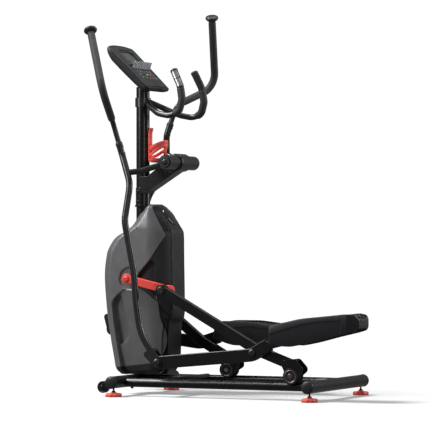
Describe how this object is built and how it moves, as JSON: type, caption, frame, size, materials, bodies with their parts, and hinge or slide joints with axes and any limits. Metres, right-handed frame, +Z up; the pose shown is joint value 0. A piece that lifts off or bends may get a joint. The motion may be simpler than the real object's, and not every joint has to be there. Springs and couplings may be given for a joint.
{
  "type": "elliptical trainer",
  "caption": "Front-drive elliptical trainer with swinging and fixed handlebars, floor rails, rear rollers, foot platforms, console and bottle holder.",
  "frame": {"origin": "on the floor under the middle of the machine's bounding box", "axes": "+X to the rear, where the user steps on, +Y to the user's right, +Z up"},
  "size_m": [1.3827, 0.714, 1.627],
  "materials": {
    "black_steel": "semi-gloss black paint",
    "black_plastic": "textured black moulding",
    "shell_grey": "metallic dark grey satin",
    "red_paint": "bright red paint",
    "red_plastic": "bright red moulding",
    "foam": "matte closed-cell foam",
    "chrome": "polished plates",
    "bright_steel": "zinc-plated steel",
    "cast_iron": "painted casting",
    "aluminium": "plain",
    "belt_rubber": "ribbed belt",
    "roller_urethane": "hard urethane",
    "pulley_plastic": "moulded nylon",
    "display_glass": "grey-green liquid crystal display",
    "clear_plastic": "smoked translucent ledge",
    "green_key": "rubber key",
    "blue_key": "rubber key"
  },
  "bodies": {
    "frame": {"front_stabilizer": "black_steel", "rear_stabilizer": "black_steel", "stabilizer_end_caps": "black_plastic", "left_rail": "black_steel", "right_rail": "black_steel", "main_frame": "black_steel", "frame_bolts": "bright_steel", "crank_bearings": "bright_steel", "mast": "black_steel", "pivot_bracket": "black_steel", "swing_axle": "bright_steel", "pivot_cover": "black_plastic", "static_handlebar": "black_steel", "static_grips": "foam", "pulse_sensors": "chrome", "console_back": "black_plastic", "console_front": "black_plastic", "console_display": "display_glass", "media_rack": "clear_plastic", "bottle_cage": "red_plastic", "housing_left_shell": "shell_grey", "housing_right_shell": "shell_grey", "rear_shroud": "black_plastic", "lower_tray": "black_plastic", "drive_belt": "belt_rubber", "brake_servo": "black_plastic"},
    "crank": {"crank_axle": "bright_steel", "drive_pulley": "pulley_plastic", "left_crank": "red_paint", "right_crank": "red_paint"},
    "flywheel": {"flywheel": "cast_iron", "flywheel_shaft": "bright_steel"},
    "magnet_brake": {"magnet_brake": "aluminium"},
    "left_swing_arm": {"left_swing_arm": "black_steel", "left_handlebar": "black_steel", "left_hand_grip": "foam", "left_handle_cap": "black_plastic"},
    "left_pedal_arm": {"left_pedal_arm": "black_steel", "left_pedal": "black_plastic"},
    "left_carriage": {"left_roller_axle": "bright_steel"},
    "left_leg": {"left_leg": "black_steel"},
    "left_roller": {"left_roller": "roller_urethane"},
    "left_transport_wheel": {"left_transport_wheel": "black_plastic"},
    "right_swing_arm": {"right_swing_arm": "black_steel", "right_handlebar": "black_steel", "right_hand_grip": "foam", "right_handle_cap": "black_plastic"},
    "right_pedal_arm": {"right_pedal_arm": "black_steel", "right_pedal": "black_plastic"},
    "right_carriage": {"right_roller_axle": "bright_steel"},
    "right_leg": {"right_leg": "black_steel"},
    "right_roller": {"right_roller": "roller_urethane"},
    "right_transport_wheel": {"right_transport_wheel": "black_plastic"},
    "front_left_foot": {"front_left_foot": "red_plastic"},
    "front_right_foot": {"front_right_foot": "red_plastic"},
    "rear_left_foot": {"rear_left_foot": "red_plastic"},
    "rear_right_foot": {"rear_right_foot": "red_plastic"},
    "program_key": {"program_key": "blue_key"},
    "start_key": {"start_key": "green_key"},
    "stop_key": {"stop_key": "red_plastic"}
  },
  "joints": [
    {"name": "crank_turn", "type": "hinge", "parent": "frame", "child": "crank", "pos_m": [-0.418, 0, 0.49], "axis": [0, -1, 0], "range_deg": [0, 180]},
    {"name": "flywheel_spin", "type": "hinge", "parent": "frame", "child": "flywheel", "pos_m": [-0.358, -0.052, 0.235], "axis": [0, -1, 0], "continuous": true},
    {"name": "magnet_tilt", "type": "hinge", "parent": "frame", "child": "magnet_brake", "pos_m": [-0.46019, -0.052, 0.294], "axis": [0, -1, 0], "range_deg": [0, 8]},
    {"name": "left_swing", "type": "hinge", "parent": "frame", "child": "left_swing_arm", "pos_m": [-0.231, -0.092, 0.982], "axis": [0, 1, 0], "range_deg": [0, 31.89]},
    {"name": "left_pedal_pivot", "type": "hinge", "parent": "left_swing_arm", "child": "left_pedal_arm", "pos_m": [-0.21669, -0.226, 0.14512], "axis": [0, 1, 0], "range_deg": [-19.49, 0]},
    {"name": "left_roller_travel", "type": "slide", "parent": "frame", "child": "left_carriage", "axis": [1, 0, 0], "range_m": [-0.46123, 0]},
    {"name": "left_leg_pivot", "type": "hinge", "parent": "left_carriage", "child": "left_leg", "pos_m": [0.37653, -0.19, 0.1], "axis": [0, 1, 0], "range_deg": [0, 9.31]},
    {"name": "left_roller_spin", "type": "hinge", "parent": "left_carriage", "child": "left_roller", "pos_m": [0.37653, -0.19, 0.1], "axis": [0, 1, 0], "continuous": true},
    {"name": "left_transport_wheel_spin", "type": "hinge", "parent": "frame", "child": "left_transport_wheel", "pos_m": [-0.462, -0.251, 0.039], "axis": [0, 1, 0], "continuous": true},
    {"name": "right_swing", "type": "hinge", "parent": "frame", "child": "right_swing_arm", "pos_m": [-0.231, 0.092, 0.982], "axis": [0, 1, 0], "range_deg": [-31.89, 0]},
    {"name": "right_pedal_pivot", "type": "hinge", "parent": "right_swing_arm", "child": "right_pedal_arm", "pos_m": [-0.66078, 0.226, 0.26377], "axis": [0, 1, 0], "range_deg": [0, 19.49]},
    {"name": "right_roller_travel", "type": "slide", "parent": "frame", "child": "right_carriage", "axis": [1, 0, 0], "range_m": [0, 0.46123]},
    {"name": "right_leg_pivot", "type": "hinge", "parent": "right_carriage", "child": "right_leg", "pos_m": [-0.08447, 0.19, 0.1], "axis": [0, 1, 0], "range_deg": [-9.31, 0]},
    {"name": "right_roller_spin", "type": "hinge", "parent": "right_carriage", "child": "right_roller", "pos_m": [-0.08447, 0.19, 0.1], "axis": [0, 1, 0], "continuous": true},
    {"name": "right_transport_wheel_spin", "type": "hinge", "parent": "frame", "child": "right_transport_wheel", "pos_m": [-0.462, 0.251, 0.039], "axis": [0, 1, 0], "continuous": true},
    {"name": "front_left_foot_turn", "type": "hinge", "parent": "frame", "child": "front_left_foot", "pos_m": [-0.402, -0.2765, 0.02], "axis": [0, 0, 1], "continuous": true},
    {"name": "front_right_foot_turn", "type": "hinge", "parent": "frame", "child": "front_right_foot", "pos_m": [-0.402, 0.2765, 0.02], "axis": [0, 0, 1], "continuous": true},
    {"name": "rear_left_foot_turn", "type": "hinge", "parent": "frame", "child": "rear_left_foot", "pos_m": [0.486, -0.2765, 0.02], "axis": [0, 0, 1], "continuous": true},
    {"name": "rear_right_foot_turn", "type": "hinge", "parent": "frame", "child": "rear_right_foot", "pos_m": [0.486, 0.2765, 0.02], "axis": [0, 0, 1], "continuous": true},
    {"name": "program_key_press", "type": "slide", "parent": "frame", "child": "program_key", "axis": [-0.6947, 0, -0.7193], "range_m": [0, 0.001], "stiffness_N_per_m": 400},
    {"name": "start_key_press", "type": "slide", "parent": "frame", "child": "start_key", "axis": [-0.6947, 0, -0.7193], "range_m": [0, 0.001], "stiffness_N_per_m": 400},
    {"name": "stop_key_press", "type": "slide", "parent": "frame", "child": "stop_key", "axis": [-0.6947, 0, -0.7193], "range_m": [0, 0.001], "stiffness_N_per_m": 400}
  ],
  "couplings": [
    {"joint": "flywheel_spin", "follows": "crank_turn", "ratio": 6},
    {"joint": "left_swing", "follows": "crank_turn", "ratio": 0.17709},
    {"joint": "left_pedal_pivot", "follows": "crank_turn", "ratio": -0.10823},
    {"joint": "left_roller_travel", "follows": "crank_turn", "m_per_rad": -0.14674},
    {"joint": "left_leg_pivot", "follows": "crank_turn", "ratio": 0.051682},
    {"joint": "left_roller_spin", "follows": "crank_turn", "ratio": -6.1143},
    {"joint": "right_swing", "follows": "crank_turn", "ratio": -0.17709},
    {"joint": "right_pedal_pivot", "follows": "crank_turn", "ratio": 0.10823},
    {"joint": "right_roller_travel", "follows": "crank_turn", "m_per_rad": 0.14674},
    {"joint": "right_leg_pivot", "follows": "crank_turn", "ratio": -0.051682},
    {"joint": "right_roller_spin", "follows": "crank_turn", "ratio": 6.1143}
  ]
}
